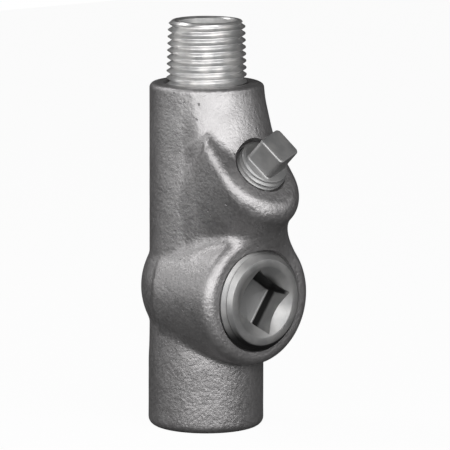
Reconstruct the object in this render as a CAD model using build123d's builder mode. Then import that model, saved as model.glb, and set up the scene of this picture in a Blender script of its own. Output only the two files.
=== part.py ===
from build123d import *
import os
from math import cos, radians, sin, tan

# Conduit sealing fitting for half inch conduit: a vertical run with a female hub below and a close
# nipple above, a large plugged port across the sealing chamber and a slanted fill boss over it.
# The origin is the centre of the lower hub's end face, the run is +Z and both ports face -Y.

# Pipe threads
coarse_pitch = 25.4 / 14
fine_pitch = 25.4 / 18
pipe_taper = 1 / 32
crest_flat = 0.12
thread_clearance = 0.10

# Run of the casting
hub_radius = 15.1
body_height = 92.0
hub_foot_rounding = 2.1
hub_top_rounding = 1.4
mouth_chamfer = 0.4

# Lower hub, integral bushing and sealing chamber
run_thread_radius = 10.67
lower_thread_depth = 14.5
bushing_radius = 7.9
bushing_length = 5.0
bushing_chamfer = 1.2
chamber_radius = 10.9
neck_radius = 9.4

# Upper hub and its nipple
upper_thread_depth = 14.0
nipple_engagement = 12.0
nipple_exposed = 16.5
nipple_bore_radius = 7.9
nipple_groove_depth = 1.0
nipple_end_chamfer = 0.8

# Large port across the run
port_height = 36.25
port_reach = 21.8
drum_radius = 17.8
drum_back = 11.7
drum_rim_rounding = 2.7
drum_back_rounding = 9.5
port_thread_radius = 13.3
port_core_back = 8.0
port_core_rounding = 5.0

# Large plug with its dished face and square socket
plug_stand = 2.5
plug_length = 15.5
plug_face_radius = 11.3
plug_end_chamfer = 0.8
plug_groove_depth = 1.2
plug_step_reach = 0.9
plug_step_depth = 0.5
dish_radius = 9.3
dish_depth = 2.4
dish_angle = 36.0
socket_width = 12.7
socket_depth = 8.4
socket_draft = 4.0
socket_turn = -34.5

# Slanted fill boss, a nose with a flat face, straight sides and a half round foot
fill_angle = 41.0
fill_reach = 22.1
fill_drop = 20.5
boss_radius = 13.3
boss_rise = 12.0
boss_depth = 27.0
boss_rim_rounding = 4.4
fill_hole_depth = 22.0
spot_radius = 8.8
spot_depth = 9.0

# Slope from the upper hub out to the fill boss
slope_drop = 1.5
slope_rise = 28.0
slope_front = 25.0
slope_corner = 7.0
slope_side = 12.2
slope_lip = 0.14

# Cast blends where the nose and the drum leave the run
junction_rounding = 3.0
shortest_junction = 10.0

# Fill plug with its square head
fill_thread_radius = 6.86
fill_plug_stand = 3.0
fill_plug_depth = 7.6
fill_groove_depth = 0.65
fill_plug_chamfer = 0.6
head_width = 8.2
head_length = 7.4
head_corner = 1.1
head_edge = 0.45
head_turn = 21.0

# Places worked out from the dimensions above
chamber_floor = lower_thread_depth + bushing_length
upper_thread_foot = body_height - upper_thread_depth
nipple_foot = body_height - nipple_engagement
nipple_top = body_height + nipple_exposed
fill_height = body_height - fill_drop
slope_top = body_height - slope_drop
slope_foot = slope_top - slope_rise
fill_axis = Vector(0, -cos(radians(fill_angle)), sin(radians(fill_angle)))
fill_face = Vector(0, -fill_reach, fill_height)


def port_plane(reach):
    """A plane across the large port's axis, its normal out of the port."""
    return Plane(origin=(0, -reach, port_height), x_dir=(1, 0, 0), z_dir=(0, -1, 0))


def fill_plane(out):
    """A plane across the fill boss's axis, its normal out of the boss."""
    return Plane(origin=fill_face + fill_axis * out, x_dir=(1, 0, 0), z_dir=fill_axis)


def axial_plane(across):
    """The plane that holds a port's axis: its X runs out from the axis and its Y along it."""
    return Plane(origin=across.origin, x_dir=across.x_dir, z_dir=across.x_dir.cross(across.z_dir))


def thread_side(crest, gauge, top, turns, pitch, depth):
    """Corners down the side of a tapered thread, full size at the gauge height: a flat and a V each turn."""
    corners = []
    for turn in range(turns):
        height = top - turn * pitch
        radius = crest + pipe_taper * (gauge - height)
        corners.append((radius, height))
        corners.append((radius, height - crest_flat * pitch))
        corners.append((radius - depth, height - (1 + crest_flat) / 2 * pitch))
    corners.append((crest, top - turns * pitch))
    return corners


# Nose of the fill boss
with BuildPart() as nose:
    with BuildSketch(fill_plane(-boss_depth)):
        Circle(boss_radius)
        Rectangle(2 * boss_radius, boss_rise, align=(Align.CENTER, Align.MIN))
    extrude(amount=boss_depth)
    fillet(nose.faces().sort_by(Axis(fill_face, fill_axis))[-1].edges(), boss_rim_rounding)

# Drum of the large port
with BuildPart() as drum:
    with BuildSketch(axial_plane(port_plane(0))) as drum_side:
        with BuildLine():
            Polyline(
                (0, -drum_back), (drum_radius, -drum_back), (drum_radius, port_reach), (0, port_reach), close=True
            )
        make_face()
        fillet(drum_side.vertices().group_by(Axis.Y)[0].sort_by(Axis.X)[-1], drum_back_rounding)
        fillet(drum_side.vertices().group_by(Axis.Y)[-1].sort_by(Axis.X)[-1], drum_rim_rounding)
    revolve(axis=Axis(port_plane(0).origin, (0, -1, 0)))

# Casting
with BuildPart() as body:
    # run and the slope that widens it towards the fill boss
    with BuildSketch(Plane.XY):
        Circle(hub_radius)
    extrude(amount=body_height)
    fillet(body.edges().sort_by(Axis.Z)[-1], hub_top_rounding)
    fillet(body.edges().filter_by(GeomType.CIRCLE).sort_by(Axis.Z)[0], hub_foot_rounding)
    with BuildSketch(Plane.XY.offset(slope_foot)):
        Circle(slope_side)
        with Locations(
            (slope_side - slope_corner, slope_corner - slope_front),
            (slope_corner - slope_side, slope_corner - slope_front),
        ):
            Circle(slope_corner)
        make_hull()
    with BuildSketch(Plane.XY.offset(slope_top)):
        Circle(hub_radius)
        with Locations((2.5 * slope_lip, -4.5 * slope_lip), (-2.5 * slope_lip, -4.5 * slope_lip)):
            Circle(hub_radius - 4 * slope_lip)
        make_hull()
    loft()
    add(nose.part)
    add(drum.part)
    drum_junctions = body.edges(Select.NEW).filter_by(lambda e: e.length > shortest_junction)
    nose_sides = body.edges().filter_by(Axis.Z).filter_by(lambda e: abs(abs(e.center().X) - boss_radius) < 0.01)
    fillet(drum_junctions + nose_sides, junction_rounding)

    # spot face round the fill hole
    with BuildSketch(fill_plane(0)):
        Circle(spot_radius)
    extrude(amount=spot_depth, mode=Mode.SUBTRACT)

    # threaded run bores, bushing and chamber on the run's axis
    with BuildSketch(Plane.XZ):
        with BuildLine():
            Polyline(
                (0, 0),
                (run_thread_radius + thread_clearance + mouth_chamfer, 0),
                (run_thread_radius + thread_clearance, mouth_chamfer),
                (run_thread_radius + thread_clearance, lower_thread_depth),
                (bushing_radius + bushing_chamfer, lower_thread_depth),
                (bushing_radius, lower_thread_depth + bushing_chamfer),
                (bushing_radius, chamber_floor - bushing_chamfer),
                (bushing_radius + bushing_chamfer, chamber_floor),
                (chamber_radius, chamber_floor),
                (chamber_radius, upper_thread_foot - chamber_radius + neck_radius),
                (neck_radius, upper_thread_foot),
                (run_thread_radius + thread_clearance, upper_thread_foot),
                (run_thread_radius + thread_clearance, body_height - mouth_chamfer),
                (run_thread_radius + thread_clearance + mouth_chamfer, body_height),
                (0, body_height),
                close=True,
            )
        make_face()
    revolve(axis=Axis.Z, mode=Mode.SUBTRACT)

    # large port with the rounded back of its core
    with BuildSketch(axial_plane(port_plane(0))) as core_side:
        with BuildLine():
            Polyline(
                (0, -port_core_back),
                (port_thread_radius + thread_clearance, -port_core_back),
                (port_thread_radius + thread_clearance, port_reach - mouth_chamfer),
                (port_thread_radius + thread_clearance + mouth_chamfer, port_reach),
                (0, port_reach),
                close=True,
            )
        make_face()
        fillet(core_side.vertices().group_by(Axis.Y)[0].sort_by(Axis.X)[-1], port_core_rounding)
    revolve(axis=Axis(port_plane(0).origin, (0, -1, 0)), mode=Mode.SUBTRACT)

    # fill hole down into the chamber
    with BuildSketch(axial_plane(fill_plane(0))):
        with BuildLine():
            Polyline(
                (0, -fill_hole_depth),
                (fill_thread_radius + thread_clearance, -fill_hole_depth),
                (fill_thread_radius + thread_clearance, -mouth_chamfer),
                (fill_thread_radius + thread_clearance + mouth_chamfer, 0),
                (0, 0),
                close=True,
            )
        make_face()
    revolve(axis=Axis(fill_face, fill_axis), mode=Mode.SUBTRACT)

# Close nipple, threaded into the upper hub
with BuildPart() as nipple:
    with BuildSketch(Plane.XZ):
        with BuildLine():
            Polyline(
                (nipple_bore_radius, nipple_foot),
                (nipple_bore_radius, nipple_top),
                (run_thread_radius - nipple_groove_depth - pipe_taper * nipple_exposed, nipple_top),
                *thread_side(
                    run_thread_radius,
                    body_height,
                    nipple_top - nipple_end_chamfer,
                    round(nipple_exposed / coarse_pitch),
                    coarse_pitch,
                    nipple_groove_depth,
                ),
                (run_thread_radius, nipple_foot + nipple_end_chamfer),
                (run_thread_radius - nipple_end_chamfer, nipple_foot),
                close=True,
            )
        make_face()
    revolve(axis=Axis.Z)

# Large plug with a dished face and a square socket
plug_axis = Axis(port_plane(0).origin, (0, -1, 0))
plug_front = port_reach + plug_stand
plug_back = plug_front - plug_length
step_radius = plug_face_radius + plug_step_reach
step_foot = plug_front - plug_step_reach - plug_step_depth
with BuildPart() as port_plug:
    with BuildSketch(axial_plane(port_plane(0))):
        with BuildLine():
            Polyline(
                (0, plug_back),
                (0, plug_front),
                (plug_face_radius, plug_front),
                (step_radius, plug_front - plug_step_reach),
                (step_radius - plug_step_depth / 4, step_foot),
                (step_radius + plug_step_depth, step_foot),
                *thread_side(
                    port_thread_radius,
                    port_reach,
                    plug_front - port_thread_radius + plug_face_radius,
                    1,
                    coarse_pitch,
                    plug_groove_depth,
                ),
                (port_thread_radius, plug_back + plug_end_chamfer),
                (port_thread_radius - plug_end_chamfer, plug_back),
                close=True,
            )
        make_face()
    revolve(axis=plug_axis)
    with BuildSketch(axial_plane(port_plane(0))):
        with BuildLine():
            Polyline(
                (0, plug_front),
                (dish_radius, plug_front),
                (dish_radius - dish_depth / tan(radians(dish_angle)), plug_front - dish_depth),
                (0, plug_front - dish_depth),
                close=True,
            )
        make_face()
    revolve(axis=plug_axis, mode=Mode.SUBTRACT)
    with BuildSketch(port_plane(plug_front).rotated((0, 0, socket_turn))):
        Rectangle(socket_width, socket_width)
    extrude(amount=-socket_depth, taper=socket_draft, mode=Mode.SUBTRACT)

# Fill plug with a square head
with BuildPart() as fill_plug:
    with BuildSketch(axial_plane(fill_plane(0))):
        with BuildLine():
            Polyline(
                (0, -fill_plug_depth),
                (0, fill_plug_stand),
                (fill_thread_radius - fill_plug_chamfer, fill_plug_stand),
                *thread_side(
                    fill_thread_radius,
                    0,
                    fill_plug_stand - fill_plug_chamfer,
                    round(fill_plug_stand / fine_pitch),
                    fine_pitch,
                    fill_groove_depth,
                ),
                (fill_thread_radius, fill_plug_chamfer - fill_plug_depth),
                (fill_thread_radius - fill_plug_chamfer, -fill_plug_depth),
                close=True,
            )
        make_face()
    revolve(axis=Axis(fill_face, fill_axis))
    with BuildSketch(fill_plane(fill_plug_stand).rotated((0, 0, head_turn))):
        RectangleRounded(head_width, head_width, head_corner)
    extrude(amount=head_length)
    chamfer(fill_plug.faces().sort_by(Axis(fill_face, fill_axis))[-1].edges(), head_edge)

os.makedirs("parts", exist_ok=True)
body.part.label = "body"
export_step(body.part, "parts/body.step")
nipple.part.label = "nipple"
export_step(nipple.part, "parts/nipple.step")
port_plug.part.label = "port_plug"
export_step(port_plug.part, "parts/port_plug.step")
fill_plug.part.label = "fill_plug"
export_step(fill_plug.part, "parts/fill_plug.step")
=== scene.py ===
import math

import bmesh
import bpy
import numpy as np
from mathutils import Matrix, Vector


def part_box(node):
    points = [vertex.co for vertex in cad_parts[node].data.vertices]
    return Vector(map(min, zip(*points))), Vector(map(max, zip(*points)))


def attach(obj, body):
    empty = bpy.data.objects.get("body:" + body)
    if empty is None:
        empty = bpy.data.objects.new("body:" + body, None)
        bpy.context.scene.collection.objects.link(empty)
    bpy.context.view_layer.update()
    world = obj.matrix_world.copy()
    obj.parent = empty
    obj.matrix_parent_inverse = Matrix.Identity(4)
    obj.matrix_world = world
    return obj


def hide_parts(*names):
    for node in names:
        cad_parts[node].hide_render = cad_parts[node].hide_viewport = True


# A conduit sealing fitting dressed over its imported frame: a cast housing with real pipe threads,
# a close nipple, a dished plug with a square socket and a square head plug in the fill boss.
# Shapes are worked out in millimetres as functions on a grid and put into the meshes in metres.

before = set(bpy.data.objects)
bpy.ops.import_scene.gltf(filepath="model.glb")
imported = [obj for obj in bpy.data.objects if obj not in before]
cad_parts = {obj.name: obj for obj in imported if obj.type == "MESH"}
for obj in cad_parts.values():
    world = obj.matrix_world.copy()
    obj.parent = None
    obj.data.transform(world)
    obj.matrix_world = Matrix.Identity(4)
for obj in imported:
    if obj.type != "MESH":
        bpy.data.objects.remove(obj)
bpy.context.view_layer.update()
mm = 0.001
print("frame loaded:", ", ".join(sorted(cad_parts)))


def boxSize(node):  # lowest and highest corner of a CAD node in millimetres
    low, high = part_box(node)
    return np.array(low) / mm, np.array(high) / mm


bodyHigh = boxSize("body")[1]
nippleLow, nippleHigh = boxSize("nipple")


# Camera, with the photograph's own turn, height and framing

view = {
    "azimuth": -40.0,
    "elevation": 9.3,
    "roll": 0.15,  # degrees, which turns the image clockwise
    "distance": 1200.0,  # millimetres, to the run's axis
    "width": 119.5,  # millimetres across the image at the run's axis
    "centreHeight": 53.7,
    "centreShift": 4.97,  # millimetres to the right of the run's axis
    "sensor": 36.0,
    "nearest": 0.1,  # metres
    "farthest": 20.0,
}


def makeCamera():
    turn, lift = math.radians(view["azimuth"]), math.radians(view["elevation"])
    back = Vector((math.sin(turn) * math.cos(lift), -math.cos(turn) * math.cos(lift), math.sin(lift)))
    side = Vector((math.cos(turn), math.sin(turn), 0))
    centre = Vector((0, 0, view["centreHeight"])) + side * view["centreShift"]
    camera = bpy.data.objects.new("camera", bpy.data.cameras.new("camera"))
    bpy.context.scene.collection.objects.link(camera)
    camera.data.sensor_width = view["sensor"]
    camera.data.lens = view["sensor"] * view["distance"] / view["width"]
    camera.data.clip_start, camera.data.clip_end = view["nearest"], view["farthest"]
    camera.location = (centre + back * view["distance"]) * mm
    facing = (-back).to_track_quat("-Z", "Y")
    roll = Matrix.Rotation(math.radians(view["roll"]), 4, "Z").to_quaternion()
    camera.rotation_mode = "QUATERNION"
    camera.rotation_quaternion = facing @ roll
    bpy.context.scene.camera = camera


makeCamera()
print("camera made")


# Grids of points made into closed meshes

weldDistance = 2e-7  # metres


def gridMesh(name, grid):
    # quads between neighbouring rows and columns, with doubled points at seams and poles merged
    rows, columns = grid.shape[:2]
    index = np.arange(rows * columns).reshape(rows, columns)
    corners = (index[:-1, :-1], index[:-1, 1:], index[1:, 1:], index[1:, :-1])
    quads = np.stack(corners, -1).reshape(-1, 4)
    points = grid.reshape(-1, 3) * mm
    mesh = bpy.data.meshes.new(name)
    mesh.vertices.add(len(points))
    mesh.vertices.foreach_set("co", points.astype(np.float32).ravel())
    mesh.loops.add(quads.size)
    mesh.loops.foreach_set("vertex_index", quads.astype(np.int32).ravel())
    mesh.polygons.add(len(quads))
    mesh.polygons.foreach_set("loop_start", np.arange(0, quads.size, 4, dtype=np.int32))
    mesh.update(calc_edges=True)
    shell = bmesh.new()
    shell.from_mesh(mesh)
    bmesh.ops.remove_doubles(shell, verts=shell.verts, dist=weldDistance)
    bmesh.ops.recalc_face_normals(shell, faces=shell.faces)
    shell.to_mesh(mesh)
    shell.free()
    mesh.validate()
    return mesh


def addPiece(name, mesh):
    piece = bpy.data.objects.new(name, mesh)
    bpy.context.scene.collection.objects.link(piece)
    return piece


def gridPiece(name, grid):
    return addPiece(name, gridMesh(name, grid))


def smoothShade(mesh, angle):  # smooth faces, with edges sharper than the angle kept crisp
    mesh.polygons.foreach_set("use_smooth", np.ones(len(mesh.polygons), bool))
    mesh.set_sharp_from_angle(angle=math.radians(angle))


def cutWith(piece, cutters):  # takes each closed cutter out of the piece and keeps the result as its mesh
    for cutter in cutters:
        step = piece.modifiers.new("cut", "BOOLEAN")
        step.operation, step.solver, step.object = "DIFFERENCE", "MANIFOLD", cutter
    bpy.context.view_layer.update()
    graph = bpy.context.evaluated_depsgraph_get()
    mesh = bpy.data.meshes.new_from_object(piece.evaluated_get(graph))
    piece.modifiers.clear()
    piece.data = mesh
    for cutter in cutters:
        bpy.data.objects.remove(cutter)


def around(columns):  # angles of a full turn, first and last the same place
    return np.linspace(0, 2 * math.pi, columns + 1)


def ring(radius, height, angles):  # one row of a turned shape, as radius and height
    return np.stack([radius + 0 * angles, height + 0 * angles])[:, None, :]


def rings(corners, angles):  # the rows of a turned profile given as radius and height pairs
    return np.concatenate([ring(radius, height, angles) for radius, height in corners], axis=1)


def joined(*parts):  # rows of several parts, one after the other
    return np.concatenate(parts, axis=1)


def quarterRound(radius, height, wide, tall, steps, turned=False):
    # radius and height pairs: the corner plus wide * (1 - sin) and tall * (1 - cos) over a quarter
    # turn, with sine and cosine changed over when it is turned
    pairs = []
    for a in np.linspace(0, math.pi / 2, steps):
        across, along = 1 - math.sin(a), 1 - math.cos(a)
        if turned:
            across, along = along, across
        pairs.append((radius + wide * across, height + tall * along))
    return pairs


def place(rows, angles, origin, side, axis):
    # radius and height rows carried onto an axis: origin + radius * (side cos + up sin) + height * axis
    side, axis = np.array(side, float), np.array(axis, float)
    up = np.cross(axis, side)
    radial = np.cos(angles)[:, None] * side + np.sin(angles)[:, None] * up
    return np.array(origin, float) + rows[0][..., None] * radial + rows[1][..., None] * axis


# Pipe threads

coarseThread = {
    "pitch": 25.4 / 14,
    "depth": 1.12,
    "crestFlat": 0.10,  # shares of the pitch
    "rootFlat": 0.08,
    "taper": 1 / 32,
}
fineThread = {
    "pitch": 25.4 / 18,
    "depth": 0.86,
    "crestFlat": 0.10,
    "rootFlat": 0.08,
    "taper": 1 / 32,
}
threadGap = 0.10  # between male and female thread
endGap = 0.05  # how far short of its plug's face a thread stops
overshoot = 2.0  # how far cutters stand out of what they cut
nudge = 1e-9  # keeps a crest's first point from wrapping round to the end of the turn before


def threadRows(thread, crest, gauge, anchor, low, high, angles, gap=0.0, ends=None, mouth=None):
    # rows that climb with a right-handed helix, each at its own place on the V profile
    # height = anchor + (turns + angle / full turn) * pitch, held between low and high
    # radius = crest - taper * distance from the gauge - depth * tooth(place), cut by 45 degree ends
    pitch, flat, root = thread["pitch"], thread["crestFlat"], thread["rootFlat"]
    foot, rise = 0.5 + (flat - root) / 2, 0.5 + (flat + root) / 2
    steps = np.array([0, flat, (flat + foot) / 2, foot, rise, (rise + 1) / 2])
    first = math.floor((low - anchor) / pitch) - 1
    count = math.ceil((high - low) / pitch) + 3
    turns = (first + np.arange(count)[:, None] + steps).ravel()
    height = np.clip(anchor + (turns[:, None] + angles / (2 * math.pi)) * pitch, low, high)
    where = np.mod((height - anchor) / pitch - angles / (2 * math.pi) + nudge, 1.0)
    tooth = np.interp(where, [0, flat, foot, rise, 1], [0, 0, 1, 1, 0])
    radius = crest - thread["taper"] * np.abs(height - gauge) - thread["depth"] * tooth + gap
    if ends:  # male: chamfered at both ends, ends = (radius at low, radius at high)
        radius = np.minimum(radius, ends[0] + (height - low))
        radius = np.minimum(radius, ends[1] + (high - height))
    if mouth:  # female: opened to mouth[0] at height mouth[1]
        radius = np.maximum(radius, mouth[0] - np.abs(height - mouth[1]))
    return np.stack([radius, height])


# Cast housing

runForm = {
    "radius": 15.1,
    "hubRadius": 15.35,  # below the drum
    "hubFrom": 16.0,  # heights between which the lower hub runs into the run
    "hubTo": 26.0,
    "height": bodyHigh[2],
    "footRounding": 2.1,
    "topRounding": 1.4,
}
slopeForm = {
    "top": bodyHigh[2] - 1.5,
    "rise": 28.0,
    "overTop": 0.06,  # share of the rise by which the front goes on above the top
    "length": 23.0,
    "frontTop": 15.2,
    "frontFoot": 25.0,
    "side": 13.1,
    "draft": 0.9,  # how much wider the sides stand at the foot
    "draftFrom": 68.0,
    "draftTo": 80.0,
    "frontRadius": 14.5,
    "back": 2.0,  # behind the run's axis
    "edge": 1.0,
    "blend": 0.8,
}
noseForm = {
    "angle": 41.0,
    "reach": 22.1,
    "height": bodyHigh[2] - 20.5,
    "leftRadius": 12.9,
    "rightRadius": 12.1,
    "sideWidth": 6.0,  # from the middle to where a side has its own form
    "drop": 2.5,  # how much lower the right side's centre is
    "leftSquash": 0.86,
    "rightSquash": 0.95,
    "flare": 0.09,  # how fast the left side widens upwards
    "flareFrom": -3.0,
    "flareTo": 10.0,
    "drawn": 1.7,  # how much the left side is drawn in at its top
    "drawnFrom": 8.0,
    "drawnTo": 12.0,
    "drawnLean": 0.2,
    "rimRounding": 4.4,  # below and on the right
    "sideRounding": 2.2,  # on the upper left
    "softBelow": 11.0,  # below the axis by this much the rim has its full rounding
    "softFrom": -2.0,  # x from which it grows to the right, and over what width
    "softSpan": 9.0,
    "softPower": 1.5,
    "depth": 27.0,
    "rise": 12.0,
    "blend": 3.0,
}
drumForm = {
    "height": 36.6,
    "reach": 21.8,
    "radius": bodyHigh[0],
    "back": 1.2,
    "rimRounding": 2.7,
    "backRounding": 1.0,
    "blend": 1.0,  # crisp behind and below, soft in front and above, most of all on the right
    "softBlend": 3.0,
    "rightBlend": 8.0,
    "rightFrom": -9.0,
    "rightTo": 7.0,
    "softFrom": 33.0,  # heights between which crisp turns into soft
    "softTo": 46.0,
}
barrelForm = {
    "height": 37.45,
    "half": 8.9,
    "radius": 17.35,
    "back": 15.1,  # flattened behind
    "backRounding": 3.0,
    "blend": 0.4,
}
castForm = {
    "columns": 300,
    "crowding": 0.4,  # how much closer the columns stand towards the ports
    "nearest": 8.0,  # radii between which the skin is looked for, and how often they are halved
    "farthest": 40.0,
    "halvings": 24,
    "frontFrom": 2.0,  # ahead of the run's axis, where the soft fillets begin and are full
    "frontTo": 11.0,
    "waviness": 0.05,  # millimetres, always inwards, and none on the port's face and at both ends
    "faceMargin": 0.6,
    "faceFade": 0.8,
    "endFade": 4.0,
    "roundingRows": 8,
    "capShare": 0.5,
    "crease": 38,
    "rows": [  # height from, height to, rows
        (2.1, 14.0, 15),
        (14.0, 22.4, 44),
        (22.4, 49.0, 52),
        (49.0, 60.0, 30),
        (60.0, 80.0, 54),
        (80.0, 90.6, 16),
    ],
}

noseTurn = math.radians(noseForm["angle"])
noseOut = np.array([0, -math.cos(noseTurn), math.sin(noseTurn)])
noseFace = np.array([0, -noseForm["reach"], noseForm["height"]])


def roundUnion(a, b, radius):  # two distances joined, with a fillet of that radius between the surfaces
    near = np.sqrt(np.maximum(radius - a, 0) ** 2 + np.maximum(radius - b, 0) ** 2)
    return np.maximum(radius, np.minimum(a, b)) - near


def roundEdge(a, b, radius):  # the space inside both distances, with its edge rounded
    over = np.sqrt(np.maximum(a + radius, 0) ** 2 + np.maximum(b + radius, 0) ** 2)
    return over + np.minimum(np.maximum(a, b) + radius, 0) - radius


def smooth(value, low, high):  # 0 below low, 1 above high, and 3 t squared - 2 t cubed between them
    t = np.clip((value - low) / (high - low), 0, 1)
    return t * t * (3 - 2 * t)


def slopeDistance(x, out, z):
    # in plan a round front between two flat sides, and the front moves forwards from the top down
    down = np.clip((slopeForm["top"] - z) / slopeForm["rise"], -slopeForm["overTop"], 1.0)
    front = slopeForm["frontTop"] + (slopeForm["frontFoot"] - slopeForm["frontTop"]) * down
    upper = smooth(z, slopeForm["draftFrom"], slopeForm["draftTo"])
    wide = np.abs(x) - slopeForm["side"] + slopeForm["draft"] * (1 - upper)
    centre = front - slopeForm["frontRadius"]
    ahead = np.sqrt(x ** 2 + (out - centre) ** 2) - slopeForm["frontRadius"]
    below = slopeForm["top"] - slopeForm["length"] - z
    sides = roundEdge(wide, ahead, slopeForm["edge"])
    return np.maximum(np.maximum(sides, below), -slopeForm["back"] - out)


def noseDistance(x, out, z):
    # a U shaped prism along the fill axis, wider to the upper left, with a rounded rim
    # section = distance from the middle, squashed below it, less the left or right radius
    forwards, upwards = out - noseForm["reach"], z - noseForm["height"]
    along = forwards * math.cos(noseTurn) + upwards * math.sin(noseTurn)
    up = upwards * math.cos(noseTurn) - forwards * math.sin(noseTurn)
    right = smooth(x, -noseForm["sideWidth"], noseForm["sideWidth"])
    squash = noseForm["leftSquash"] + (noseForm["rightSquash"] - noseForm["leftSquash"]) * right
    low = np.minimum(up + noseForm["drop"] * right, 0) * squash
    flaring = np.clip(up, noseForm["flareFrom"], noseForm["flareTo"])
    left = noseForm["leftRadius"] + noseForm["flare"] * flaring
    leaning = up - along * noseForm["drawnLean"]
    left = left - noseForm["drawn"] * smooth(leaning, noseForm["drawnFrom"], noseForm["drawnTo"])
    section = np.sqrt(x ** 2 + low ** 2) - left - (noseForm["rightRadius"] - left) * right
    below = np.clip(-up / noseForm["softBelow"], 0, 1)
    aside = np.clip((x - noseForm["softFrom"]) / noseForm["softSpan"], 0, 1)
    soft = np.maximum(below, aside) ** noseForm["softPower"]
    rounding = noseForm["sideRounding"] + (noseForm["rimRounding"] - noseForm["sideRounding"]) * soft
    rimmed = roundEdge(section, along, rounding)
    return np.maximum(np.maximum(rimmed, -noseForm["depth"] - along), up - noseForm["rise"])


def drumDistance(x, out, z):
    # a disc from a little behind the run's axis forwards, its front rim more rounded than its back
    section = np.sqrt(x ** 2 + (z - drumForm["height"]) ** 2) - drumForm["radius"]
    front = roundEdge(section, out - drumForm["reach"], drumForm["rimRounding"])
    back = roundEdge(section, -drumForm["back"] - out, drumForm["backRounding"])
    return np.maximum(front, back)


def barrelDistance(x, y, z):
    # the chamber's swelling, radius = widest - rise * (height from its middle / half height) squared
    rise = barrelForm["radius"] - runForm["radius"]
    share = (z - barrelForm["height"]) / barrelForm["half"]
    swelling = np.sqrt(x ** 2 + y ** 2) - barrelForm["radius"] + rise * share ** 2
    return roundEdge(swelling, y - barrelForm["back"], barrelForm["backRounding"])


def castDistance(x, y, z):
    # run, nose, slope, barrel and drum joined one after the other, each with its own fillet
    upper = smooth(z, runForm["hubFrom"], runForm["hubTo"])
    hub = (runForm["hubRadius"] - runForm["radius"]) * (1 - upper)
    run = np.sqrt(x ** 2 + y ** 2) - runForm["radius"] - hub
    ahead = smooth(-y, castForm["frontFrom"], castForm["frontTo"])  # 0 where nose and run lie side by side
    whole = roundUnion(run, noseDistance(x, -y, z), noseForm["blend"] * ahead)
    whole = roundUnion(whole, slopeDistance(x, -y, z), slopeForm["blend"])
    whole = roundUnion(whole, barrelDistance(x, y, z), barrelForm["blend"])
    right = smooth(x, drumForm["rightFrom"], drumForm["rightTo"])
    soft = drumForm["softBlend"] + (drumForm["rightBlend"] - drumForm["softBlend"]) * right
    above = ahead * smooth(z, drumForm["softFrom"], drumForm["softTo"])
    blend = drumForm["blend"] + (soft - drumForm["blend"]) * above
    return roundUnion(whole, drumDistance(x, -y, z), blend)


def castWaves(x, y, z):  # slow unevenness of sand-cast skin: products of sines out of step, from 0 to 1
    first = np.sin(0.61 * x + 0.37 * z + 1.3) * np.sin(0.53 * y - 0.44 * z)
    second = np.sin(1.13 * x - 0.71 * y + 0.9) * np.sin(0.97 * z + 0.35 * x)
    return 0.5 + 0.3 * first + 0.2 * second


def castSkin():
    # the radius at each angle and height is where the joined distance crosses zero, found by halving
    turn = np.linspace(-math.pi, math.pi, castForm["columns"] + 1)
    angles = turn - castForm["crowding"] * np.sin(turn + math.pi / 2)
    heights = [np.linspace(low, high, count, endpoint=False) for low, high, count in castForm["rows"]]
    heights = np.concatenate(heights + [[castForm["rows"][-1][1]]])
    z = heights[:, None] + 0 * angles
    near, far = np.full(z.shape, castForm["nearest"]), np.full(z.shape, castForm["farthest"])
    for halving in range(castForm["halvings"]):
        middle = (near + far) / 2
        inside = castDistance(middle * np.cos(angles), middle * np.sin(angles), z) < 0
        near, far = np.where(inside, middle, near), np.where(inside, far, middle)
    radius = (near + far) / 2
    x, y = radius * np.cos(angles), radius * np.sin(angles)
    fade = np.clip((drumForm["reach"] - castForm["faceMargin"] + y) / castForm["faceFade"], 0, 1)
    ends = np.clip(np.minimum(z - heights[0], heights[-1] - z) / castForm["endFade"], 0, 1)
    radius = radius - castForm["waviness"] * castWaves(x, y, z) * fade * ends
    foot, top, steps = runForm["footRounding"], runForm["topRounding"], castForm["roundingRows"]
    bottomHeight, topHeight = 0 * angles, runForm["height"] + 0 * angles
    footRows = [(radius[0] * share, bottomHeight) for share in (0, castForm["capShare"])]
    footRows += quarterRound(radius[0], bottomHeight, -foot, foot, steps)[:-1]
    topRows = quarterRound(radius[-1], topHeight, -top, -top, steps)[-2::-1]
    topRows += [(radius[-1] * share, topHeight) for share in (castForm["capShare"], 0)]
    allRadius = np.concatenate([[r for r, h in footRows], radius, [r for r, h in topRows]])
    allHeight = np.concatenate([[h for r, h in footRows], z, [h for r, h in topRows]])
    return np.stack([allRadius * np.cos(angles), allRadius * np.sin(angles), allHeight], -1)


boreForm = {
    "columns": 132,
    "thread": 10.67,
    "lowerDepth": 14.5,
    "lowerAnchor": 0.3,
    "bushing": 7.9,
    "bushingLength": 5.0,
    "bushingEdge": 1.2,
    "chamber": 10.9,
    "neck": 9.4,
    "upperDepth": 14.0,
    "mouth": 0.5,
    "anchor": bodyHigh[2] + 0.4,  # a crest of the nipple's helix
}
portForm = {
    "columns": 150,
    "height": 36.25,
    "thread": 13.3,
    "threadFrom": 5.0,
    "coreBack": -8.0,
    "coreRounding": 5.0,
    "coreRows": 8,
    "mouth": 0.3,
    "anchor": 20.9,
}
fillForm = {
    "columns": 108,
    "thread": 6.86,
    "threadDepth": 11.0,
    "depth": 22.0,
    "spot": 7.8,
    "spotReach": 9.0,  # how far the spot face's cutter goes outwards
    "spotRounding": 0.6,
    "mouth": 0.5,
    "anchor": 0.35,
}
edgeRows = 5  # rows of a small quarter round


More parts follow.
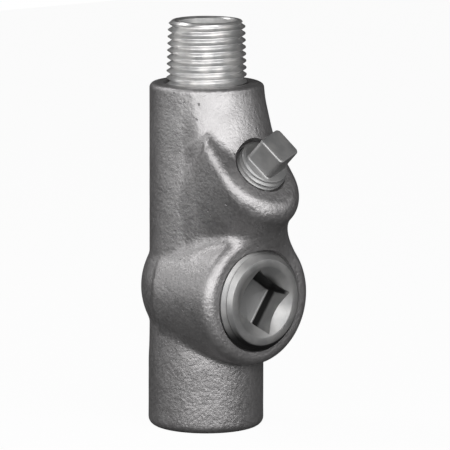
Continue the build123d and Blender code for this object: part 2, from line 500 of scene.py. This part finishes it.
def runCutter():
    # the two female threads, the bushing between them and the sealing chamber, on the run's axis
    angles = around(boreForm["columns"])
    height, crest, foot = runForm["height"], boreForm["thread"], boreForm["lowerDepth"]
    mouth = crest + threadGap + boreForm["mouth"]
    floor = foot + boreForm["bushingLength"]
    upperFoot = height - boreForm["upperDepth"]
    bushing, edge = boreForm["bushing"], boreForm["bushingEdge"]
    middle = quarterRound(bushing, foot, edge, edge, edgeRows)
    middle += quarterRound(bushing, floor, edge, -edge, edgeRows, True)
    middle += [
        (boreForm["chamber"], floor),
        (boreForm["chamber"], upperFoot - boreForm["chamber"] + boreForm["neck"]),
        (boreForm["neck"], upperFoot),
    ]
    lower = threadRows(
        coarseThread, crest, 0.0, boreForm["lowerAnchor"], 0.0, foot, angles,
        threadGap, mouth=(mouth, 0.0),
    )
    upper = threadRows(
        coarseThread, crest, height, boreForm["anchor"], upperFoot, height, angles,
        threadGap, mouth=(mouth, height),
    )
    start = rings([(0, -overshoot), (mouth, -overshoot)], angles)
    end = rings([(mouth, height + overshoot), (0, height + overshoot)], angles)
    rows = joined(start, lower, rings(middle, angles), upper, end)
    return gridPiece("runCutter", place(rows, angles, (0, 0, 0), (1, 0, 0), (0, 0, 1)))


def portCutter():
    # the port's female thread and the rounded core behind it, with the height measured out along the port
    angles = around(portForm["columns"])
    wall = portForm["thread"] + threadGap
    mouth = wall + portForm["mouth"]
    reach, back, soft = drumForm["reach"], portForm["coreBack"], portForm["coreRounding"]
    core = quarterRound(wall, back, -soft, soft, portForm["coreRows"])
    thread = threadRows(
        coarseThread, portForm["thread"], reach, portForm["anchor"], portForm["threadFrom"], reach, angles,
        threadGap, mouth=(mouth, reach),
    )
    start = rings([(0, back)] + core + [(wall, portForm["threadFrom"])], angles)
    end = rings([(mouth, reach + overshoot), (0, reach + overshoot)], angles)
    rows = joined(start, thread, end)
    return gridPiece("portCutter", place(rows, angles, (0, 0, portForm["height"]), (1, 0, 0), (0, -1, 0)))


def fillCutter():
    # the spot face round the fill hole, its female thread and the way down into the chamber
    angles = around(fillForm["columns"])
    wall = fillForm["thread"] + threadGap
    depth, threadDepth = fillForm["depth"], fillForm["threadDepth"]
    spot, reach, soft = fillForm["spot"], fillForm["spotReach"], fillForm["spotRounding"]
    thread = threadRows(
        fineThread, fillForm["thread"], 0.0, fillForm["anchor"], -threadDepth, 0.0, angles,
        threadGap, mouth=(wall + fillForm["mouth"], 0.0),
    )
    start = rings([(0, -depth), (wall, -depth), (wall, -threadDepth)], angles)
    pocket = quarterRound(spot, 0.0, -soft, soft, edgeRows)
    end = rings(pocket + [(spot, reach), (0, reach)], angles)
    rows = joined(start, thread, end)
    return gridPiece("fillCutter", place(rows, angles, noseFace, (1, 0, 0), noseOut))


def makeHousing():
    housing = gridPiece("castHousing", castSkin())
    cutWith(housing, [runCutter(), portCutter(), fillCutter()])
    smoothShade(housing.data, castForm["crease"])
    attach(housing, "body")
    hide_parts("body")
    return housing


housing = makeHousing()
print("cast housing made:", len(housing.data.polygons), "faces")


# Close nipple

nippleForm = {
    "columns": 144,
    "bore": 7.9,
    "endDrop": 1.0,  # what the chamfers take off the crests
    "endFlat": 0.9,
    "boreEdge": 0.5,
    "crease": 25,
}


def makeNipple():
    # a helical thread over its whole length, chamfered at both ends, round a plain bore
    angles = around(nippleForm["columns"])
    low, high = nippleLow[2], nippleHigh[2]
    crest, height = boreForm["thread"], runForm["height"]
    drop, edge, bore = nippleForm["endDrop"], nippleForm["boreEdge"], nippleForm["bore"]
    lowEnd = crest - (height - low) * coarseThread["taper"] - drop
    highEnd = crest - (high - height) * coarseThread["taper"] - drop
    thread = threadRows(
        coarseThread, crest, height, boreForm["anchor"], low, high, angles, ends=(lowEnd, highEnd)
    )
    lowFlat, highFlat = lowEnd - nippleForm["endFlat"], highEnd - nippleForm["endFlat"]
    inside = [(bore + edge, high), (bore, high - edge), (bore, low + edge), (bore + edge, low)]
    start = rings([(lowFlat, low)], angles)
    end = rings([(highFlat, high)] + inside + [(lowFlat, low)], angles)
    rows = joined(start, thread, end)
    piece = gridPiece("nippleTube", place(rows, angles, (0, 0, 0), (1, 0, 0), (0, 0, 1)))
    smoothShade(piece.data, nippleForm["crease"])
    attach(piece, "nipple")
    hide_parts("nipple")
    return piece


nippleTube = makeNipple()
print("nipple made")


# Large plug

plugForm = {
    "columns": 160,
    "stand": 2.5,
    "length": 15.5,
    "face": 11.3,
    "faceEdge": 0.1,
    "end": 12.4,
    "endFlat": 1.2,
    "dish": 9.3,
    "dishDepth": 2.4,
    "dishAngle": 36.0,
    "dishEdge": 0.25,
    "edgeInset": 0.2,  # shares of the dish's edge
    "edgeDrop": 0.35,
    "dishFoot": [(0.6, 0.45), (0.1, 0.12), (-0.5, 0.0)],  # beyond the bed's edge and above the bed
    "socket": 12.7,
    "socketColumns": 96,
    "socketDepth": 8.4,
    "socketDraft": 4.0,
    "socketTurn": -34.5,
    "socketCorner": 0.35,
    "socketFoot": [(0.5, 0.0), (0.15, 0.15), (0.0, 0.5)],  # above the bottom and in from the wall
    "crease": 24,
}
cornerCrowding = 0.2  # how much closer columns stand round the corners of a square


def squareRadius(angles, half, corner):
    # distance from the centre to a square of that half width with rounded corners, at each angle
    a = np.abs(np.mod(angles + math.pi / 4, math.pi / 2) - math.pi / 4)
    flat = half / np.cos(a)
    inner = half - corner
    reach = inner * (np.cos(a) + np.sin(a))
    curved = reach + np.sqrt(np.maximum(reach ** 2 - 2 * inner ** 2 + corner ** 2, 0))
    return np.where(half * np.tan(a) > inner, curved, flat)


def squareAngles(columns):  # angles that stand closer together round the four corners
    turn = np.linspace(0, 2 * math.pi, columns + 1)
    return turn + cornerCrowding * np.sin(4 * turn)


def socketCutter(front):
    # a square section carried inwards with draft to a rounded foot, turned as in the photograph
    # half width = socket / 2 - depth * tan(draft) - inset
    angles = squareAngles(plugForm["socketColumns"])
    draft = math.tan(math.radians(plugForm["socketDraft"]))
    foot = plugForm["socketFoot"]
    depths = np.array([overshoot, 0.0] + [-plugForm["socketDepth"] + above for above, inset in foot])
    insets = np.array([0.0, 0.0] + [inset for above, inset in foot])
    half = plugForm["socket"] / 2 + np.minimum(depths, 0) * draft - insets
    radius = np.stack([squareRadius(angles, h, plugForm["socketCorner"]) for h in half])
    radius = np.concatenate([radius[:1] * 0, radius, radius[:1] * 0])
    depths = np.concatenate([depths[:1], depths, depths[-1:]])
    rows = np.stack([radius, front + depths[:, None] + 0 * angles])
    turned = angles + math.radians(plugForm["socketTurn"])
    return gridPiece("socketCutter", place(rows, turned, (0, 0, portForm["height"]), (1, 0, 0), (0, -1, 0)))


def makePlug():
    # a tapered thread, a 45 degree rim with the last turn running out on it, a flat ring and a dish
    angles = around(plugForm["columns"])
    front = drumForm["reach"] + plugForm["stand"]
    low, bedHeight = front - plugForm["length"], front - plugForm["dishDepth"]
    thread = threadRows(
        coarseThread, portForm["thread"], drumForm["reach"], portForm["anchor"], low, front - endGap, angles,
        ends=(plugForm["end"], plugForm["face"] + endGap),
    )
    bed = plugForm["dish"] - plugForm["dishDepth"] / math.tan(math.radians(plugForm["dishAngle"]))
    edge = plugForm["dishEdge"]
    face = [
        (plugForm["face"] - plugForm["faceEdge"], front),
        (plugForm["dish"] + edge, front),
        (plugForm["dish"] - edge * plugForm["edgeInset"], front - edge * plugForm["edgeDrop"]),
    ]
    face += [(bed + beyond, bedHeight + above) for beyond, above in plugForm["dishFoot"]]
    face += [(0, bedHeight)]
    start = rings([(0, low), (plugForm["end"] - plugForm["endFlat"], low)], angles)
    rows = joined(start, thread, rings(face, angles))
    plug = gridPiece("portPlug", place(rows, angles, (0, 0, portForm["height"]), (1, 0, 0), (0, -1, 0)))
    cutWith(plug, [socketCutter(front)])
    smoothShade(plug.data, plugForm["crease"])
    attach(plug, "port_plug")
    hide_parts("port_plug")
    return plug


portPlug = makePlug()
print("large plug made")


# Fill plug

headForm = {
    "columns": 160,
    "stand": 3.0,
    "depth": 7.6,
    "shoulder": 6.2,
    "shoulderEdge": 0.15,
    "end": 6.1,
    "endFlat": 0.9,
    "width": 8.2,
    "length": 7.4,
    "corner": 1.1,
    "edge": 0.45,
    "edgeRows": 6,
    "topShare": 0.6,
    "fillet": 0.4,
    "turn": 21.0,
    "crease": 24,
}


def makeFillPlug():
    # a tapered thread, a round shoulder and a square head whose far edges are rounded over
    angles = squareAngles(headForm["columns"]) + math.radians(headForm["turn"])
    inHead = angles - math.radians(headForm["turn"])
    stand, half, corner = headForm["stand"], headForm["width"] / 2, headForm["corner"]
    top, depth = stand + headForm["length"], headForm["depth"]
    thread = threadRows(
        fineThread, fillForm["thread"], 0.0, fillForm["anchor"], -depth, stand - endGap,
        angles, ends=(headForm["end"], headForm["shoulder"] + endGap),
    )
    soft, edge = headForm["fillet"], headForm["edge"]
    head = quarterRound(half, stand, soft, soft, edgeRows)
    head += quarterRound(half, top, -edge, -edge, headForm["edgeRows"], True)
    radius = [squareRadius(inHead, h, corner) for h, z in head]
    radius += [radius[-1] * headForm["topShare"], radius[-1] * 0.0]
    height = [z for h, z in head] + [top, top]
    headRows = np.stack([np.array(radius), np.array(height)[:, None] + 0 * angles])
    start = rings([(0, -depth), (headForm["end"] - headForm["endFlat"], -depth)], angles)
    rim = rings([(headForm["shoulder"] - headForm["shoulderEdge"], stand)], angles)
    rows = joined(start, thread, rim, headRows)
    piece = gridPiece("fillPlug", place(rows, angles, noseFace, (1, 0, 0), noseOut))
    smoothShade(piece.data, headForm["crease"])
    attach(piece, "fill_plug")
    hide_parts("fill_plug")
    return piece


fillPlug = makeFillPlug()
print("fill plug made")


# Shader maths

class Signal:  # one value or colour inside a material, so that sums of them are written as plain sums
    def __init__(self, finish, source):
        self.finish, self.source = finish, source

    def sum(self, operation, first, second):
        return self.finish.wire("ShaderNodeMath", {"operation": operation}, {0: first, 1: second})

    def __add__(self, other):
        return self.sum("ADD", self, other)

    def __sub__(self, other):
        return self.sum("SUBTRACT", self, other)

    def __mul__(self, other):
        return self.sum("MULTIPLY", self, other)

    def __radd__(self, other):
        return self.sum("ADD", other, self)

    def __rsub__(self, other):
        return self.sum("SUBTRACT", other, self)

    def __rmul__(self, other):
        return self.sum("MULTIPLY", other, self)


class Finish:  # a material under construction
    def __init__(self, name, tree=None):
        if tree is None:
            self.material = bpy.data.materials.new(name)
            self.material.use_nodes = True
            tree = self.material.node_tree
        self.tree = tree
        self.tree.nodes.clear()

    def node(self, kind, settings, sockets):
        made = self.tree.nodes.new(kind)
        for key, value in settings.items():
            setattr(made, key, value)
        for key, value in sockets.items():
            if isinstance(value, Signal):
                self.tree.links.new(value.source, made.inputs[key])
            else:
                made.inputs[key].default_value = value
        return made

    def wire(self, kind, settings, sockets, output=0):
        return Signal(self, self.node(kind, settings, sockets).outputs[output])

    def coordinates(self):
        return self.wire("ShaderNodeTexCoord", {}, {}, "Object")

    def noise(self, where, scale, detail=2.0, roughness=0.5):
        sockets = {"Vector": where, "Scale": scale, "Detail": detail, "Roughness": roughness}
        return self.wire("ShaderNodeTexNoise", {}, sockets)

    def stretched(self, where, scale):
        return self.wire("ShaderNodeVectorMath", {"operation": "MULTIPLY"}, {0: where, 1: scale})

    def between(self, value, limits):  # 0 at the first limit, 1 at the second, smooth in between
        settings = {"interpolation_type": "SMOOTHSTEP", "clamp": True}
        sockets = {0: value, 1: limits[0], 2: limits[1], 3: 0.0, 4: 1.0}
        return self.wire("ShaderNodeMapRange", settings, sockets)

    def either(self, first, second):  # the larger of the two
        return self.wire("ShaderNodeMath", {"operation": "MAXIMUM"}, {0: first, 1: second})

    def mixed(self, factor, first, second):
        return self.wire("ShaderNodeMix", {"data_type": "RGBA"}, {0: factor, 6: first, 7: second}, 2)

    def bump(self, height, distance, under=None):
        sockets = {"Height": height, "Distance": distance, "Strength": 1.0}
        if under is not None:
            sockets["Normal"] = under
        return self.wire("ShaderNodeBump", {}, sockets)

    def seen(self, mirrored):  # 1 for the camera, and a share of that for mirrored and refracted rays
        path = self.node("ShaderNodeLightPath", {}, {})
        rays = ("Is Camera Ray", "Is Glossy Ray", "Is Transmission Ray")
        camera, glossy, through = (Signal(self, path.outputs[ray]) for ray in rays)
        return camera + (glossy + through) * mirrored

    def surface(self, colour, metallic, rough, normal):
        sockets = {"Base Color": colour, "Metallic": metallic, "Roughness": rough, "Normal": normal}
        shader = self.node("ShaderNodeBsdfPrincipled", {}, sockets)
        self.close("ShaderNodeOutputMaterial", shader)
        return self.material

    def blended(self, factor, first, second):  # two shaders mixed
        blend = self.node("ShaderNodeMixShader", {}, {0: factor})
        self.tree.links.new(first.outputs[0], blend.inputs[1])
        self.tree.links.new(second.outputs[0], blend.inputs[2])
        return blend

    def close(self, kind, shader):
        output = self.node(kind, {}, {})
        self.tree.links.new(shader.outputs[0], output.inputs[0])


def grey(level, warm=0.0):  # a grey with a little more red and less blue when warm
    return (level * (1 + warm), level, level * (1 - warm), 1.0)


# Finishes

noiseMiddle = 0.5

lacquer = {
    "light": (0.434, 0.424, 0.426, 1.0),
    "dark": (0.330, 0.321, 0.323, 1.0),
    "metallic": 0.86,
    "roughness": 0.45,
    "peelScale": 1150.0,
    "peelHeight": 0.00016,
    "peelRoughness": 0.25,
    "lumpScale": 420.0,
    "lumpHeight": 0.00008,
    "cloudScale": 90.0,
    "cloudShare": 0.6,
    "peelShare": 0.4,
    "cloudLimits": (0.35, 0.62),
    "pitScale": 800.0,
    "pitLimits": (0.80, 0.88),
    "pitColour": grey(0.12),
    "pitShare": 0.5,
    "pitRoughness": 0.2,
    "pitDepth": 0.6,
}


def castFinish():
    # satin lacquer over a sand-cast skin: orange peel, slow lumps, a few pits and slow clouding
    finish = Finish("castLacquer")
    where = finish.coordinates()
    peel = finish.noise(where, lacquer["peelScale"], detail=3.0, roughness=0.6)
    lump = finish.noise(where, lacquer["lumpScale"], detail=1.0, roughness=0.4)
    pit = finish.between(finish.noise(where, lacquer["pitScale"], detail=0.0), lacquer["pitLimits"])
    cloud = finish.noise(where, lacquer["cloudScale"], detail=3.0, roughness=0.6)
    clouding = cloud * lacquer["cloudShare"] + peel * lacquer["peelShare"]
    light = finish.between(clouding, lacquer["cloudLimits"])
    colour = finish.mixed(light, lacquer["dark"], lacquer["light"])
    colour = finish.mixed(pit * lacquer["pitShare"], colour, lacquer["pitColour"])
    rough = lacquer["roughness"] + (peel - noiseMiddle) * lacquer["peelRoughness"]
    rough = rough + pit * lacquer["pitRoughness"]
    normal = finish.bump(lump, lacquer["lumpHeight"])
    normal = finish.bump(peel - pit * lacquer["pitDepth"], lacquer["peelHeight"], normal)
    return finish.surface(colour, lacquer["metallic"], rough, normal)


zincSteel = {
    "light": grey(0.82, 0.01),
    "dark": grey(0.64, 0.0),
    "metallic": 0.86,
    "roughness": 0.37,
    "markStretch": (500.0, 500.0, 9000.0),
    "markRoughness": 0.2,
    "markHeight": 0.00001,
    "cloudScale": 260.0,
    "cloudLimits": (0.35, 0.65),
}


def zincFinish():
    # turned and plated thread: fine marks round the axis, which are thin in height and long round
    finish = Finish("turnedZinc")
    where = finish.coordinates()
    stretched = finish.stretched(where, zincSteel["markStretch"])
    marks = finish.noise(stretched, 1.0, roughness=0.6)
    cloud = finish.noise(where, zincSteel["cloudScale"])
    light = finish.between(cloud, zincSteel["cloudLimits"])
    colour = finish.mixed(light, zincSteel["dark"], zincSteel["light"])
    rough = zincSteel["roughness"] + (marks - noiseMiddle) * zincSteel["markRoughness"]
    normal = finish.bump(marks, zincSteel["markHeight"])
    return finish.surface(colour, zincSteel["metallic"], rough, normal)


plugIron = {
    "light": grey(0.39, 0.01),
    "dark": grey(0.31, 0.0),
    "metallic": 0.75,
    "roughness": 0.46,
    "grainScale": 2600.0,
    "grainRoughness": 0.2,
    "grainHeight": 0.00002,
    "cloudScale": 240.0,
    "cloudLimits": (0.35, 0.65),
    "scale": grey(0.03),  # painted shade in the socket and painted shadow under the rim
    "floor": grey(0.24),  # painted shade on the socket's bottom
}
paintedShadeForm = {  # limits in millimetres between which the painted shade in the socket and the painted shadow under the rim come in
    "within": (9.2, 9.0),  # radius
    "roof": (5.2, 5.6),
    "roofDepth": (1.0, 2.4),
    "foot": (5.0, 5.3),
    "footDepth": (5.0, 6.2),
    "footEnd": (8.05, 7.9),
    "bottom": (8.25, 8.35),
    "rim": (11.4, 11.7),  # radius
    "rimHeight": (-4.0, -9.5),
}


def plugFinish(name, socket):
    # smoother iron with a fine grain and slight clouding, and with socket set, painted shade in the socket
    # and painted shadow under the rim
    finish = Finish(name)
    where = finish.coordinates()
    grain = finish.noise(where, plugIron["grainScale"], roughness=0.6)
    cloud = finish.noise(where, plugIron["cloudScale"])
    light = finish.between(cloud, plugIron["cloudLimits"])
    colour = finish.mixed(light, plugIron["dark"], plugIron["light"])
    if socket:
        # painted shade on the socket's upper wall, at the foot of its right wall and on its bottom, and
        # painted shadow low down on the thread under the rim
        parts = finish.node("ShaderNodeSeparateXYZ", {}, {0: where})
        x, y, z = (Signal(finish, parts.outputs[axis]) * (1 / mm) for axis in range(3))
        turn = math.radians(plugForm["socketTurn"])
        height = z - portForm["height"]
        depth = y + (drumForm["reach"] + plugForm["stand"])
        right = x * math.cos(turn) + height * math.sin(turn)
        upper = height * math.cos(turn) - x * math.sin(turn)
        out = x * x + height * height
        within = finish.between(out, [r ** 2 for r in paintedShadeForm["within"]])
        roof = finish.between(upper, paintedShadeForm["roof"]) * finish.between(depth, paintedShadeForm["roofDepth"])
        foot = finish.between(right, paintedShadeForm["foot"]) * finish.between(depth, paintedShadeForm["footDepth"])
        foot = foot * finish.between(depth, paintedShadeForm["footEnd"])
        bottom = finish.between(depth, paintedShadeForm["bottom"])
        rim = finish.between(out, [r ** 2 for r in paintedShadeForm["rim"]])
        rim = rim * finish.between(height, paintedShadeForm["rimHeight"])
        # painted shade on the socket's bottom, then near black painted shade on the walls and painted shadow
        # under the rim
        colour = finish.mixed(bottom * within, colour, plugIron["floor"])
        paintedShade = finish.either(finish.either(roof, foot) * within, rim)
        colour = finish.mixed(paintedShade, colour, plugIron["scale"])
    rough = plugIron["roughness"] + (grain - noiseMiddle) * plugIron["grainRoughness"]
    normal = finish.bump(grain, plugIron["grainHeight"])
    return finish.surface(colour, plugIron["metallic"], rough, normal)


def paint(piece, material):
    piece.data.materials.clear()
    piece.data.materials.append(material)


finishes = (
    ("port_plug", portPlug, plugFinish("plugIron", True)),
    ("body", housing, castFinish()),
    ("nipple", nippleTube, zincFinish()),
    ("fill_plug", fillPlug, plugFinish("headIron", False)),
)
for node, piece, material in finishes:
    paint(piece, material)
    paint(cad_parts[node], material)
print("finishes made")


# Floor, lamps and world

stageForm = {
    "floor": 0.05,  # for light that bounces off it, so that undersides stay dark as in the photograph
    "floorShown": 0.80,  # for the camera
    "floorSize": 1.6,
    "sky": 0.012,
    "mirrored": 0.012,
    "glow": 0.96,
    "lampAim": 0.055,
}
white = (1, 1, 1, 1)


def makeFloor():
    # a flat pale sheet that shows white to the camera and keeps a soft shadow
    half = stageForm["floorSize"] / 2
    corners = [(-half, -half, 0), (half, -half, 0), (half, half, 0), (-half, half, 0)]
    mesh = bpy.data.meshes.new("paleFloor")
    mesh.from_pydata(corners, [], [(0, 1, 2, 3)])
    floor = addPiece("paleFloor", mesh)
    finish = Finish("paleFloor")
    shown = finish.mixed(finish.seen(0.0), grey(stageForm["floor"]), grey(stageForm["floorShown"]))
    matt = finish.node("ShaderNodeBsdfDiffuse", {}, {"Color": shown})
    glow = finish.node("ShaderNodeEmission", {}, {"Color": white, "Strength": 1.0})
    lit = finish.seen(stageForm["mirrored"]) * stageForm["glow"]
    finish.close("ShaderNodeOutputMaterial", finish.blended(lit, matt, glow))
    paint(floor, finish.material)


lamps = {  # azimuth and height of the lamp seen from the object, distance and size in metres, power in watts
    "keyPanel": {
        "azimuth": -130.0, "height": 20.5, "distance": 0.48, "wide": 1.20, "tall": 0.44, "power": 4.6,
    },
    "edgeStrip": {
        "azimuth": 122.0, "height": 44.0, "distance": 0.60, "wide": 0.14, "tall": 0.30, "power": 0.9,
    },
    "rightFill": {
        "azimuth": -72.0, "height": 24.0, "distance": 0.50, "wide": 0.50, "tall": 0.26, "power": 0.5,
    },
    "sideFill": {
        "azimuth": -213.0, "height": 12.0, "distance": 0.50, "wide": 0.40, "tall": 0.26, "power": 0.36,
    },
}


def makeLamps():
    centre = Vector((0, 0, stageForm["lampAim"]))
    for name, lamp in lamps.items():
        turn, lift = math.radians(lamp["azimuth"]), math.radians(lamp["height"])
        out = Vector((math.cos(turn) * math.cos(lift), math.sin(turn) * math.cos(lift), math.sin(lift)))
        data = bpy.data.lights.new(name, "AREA")
        data.shape, data.size, data.size_y = "RECTANGLE", lamp["wide"], lamp["tall"]
        data.energy = lamp["power"]
        light = bpy.data.objects.new(name, data)
        light.location = centre + out * lamp["distance"]
        light.rotation_mode = "QUATERNION"
        light.rotation_quaternion = (-out).to_track_quat("-Z", "Y")
        light.visible_camera = False
        bpy.context.scene.collection.objects.link(light)


def makeWorld():
    # even grey light, and white where the camera looks past the object
    world = bpy.data.worlds.new("studio")
    bpy.context.scene.world = world
    world.use_nodes = True
    finish = Finish("studioRays", world.node_tree)
    soft = finish.node("ShaderNodeBackground", {}, {"Color": grey(stageForm["sky"])})
    plain = finish.node("ShaderNodeBackground", {}, {"Color": white})
    blend = finish.blended(finish.seen(stageForm["mirrored"]), soft, plain)
    finish.close("ShaderNodeOutputWorld", blend)


makeFloor()
makeLamps()
makeWorld()
bpy.context.scene.view_settings.view_transform = "Standard"
print("stage made")
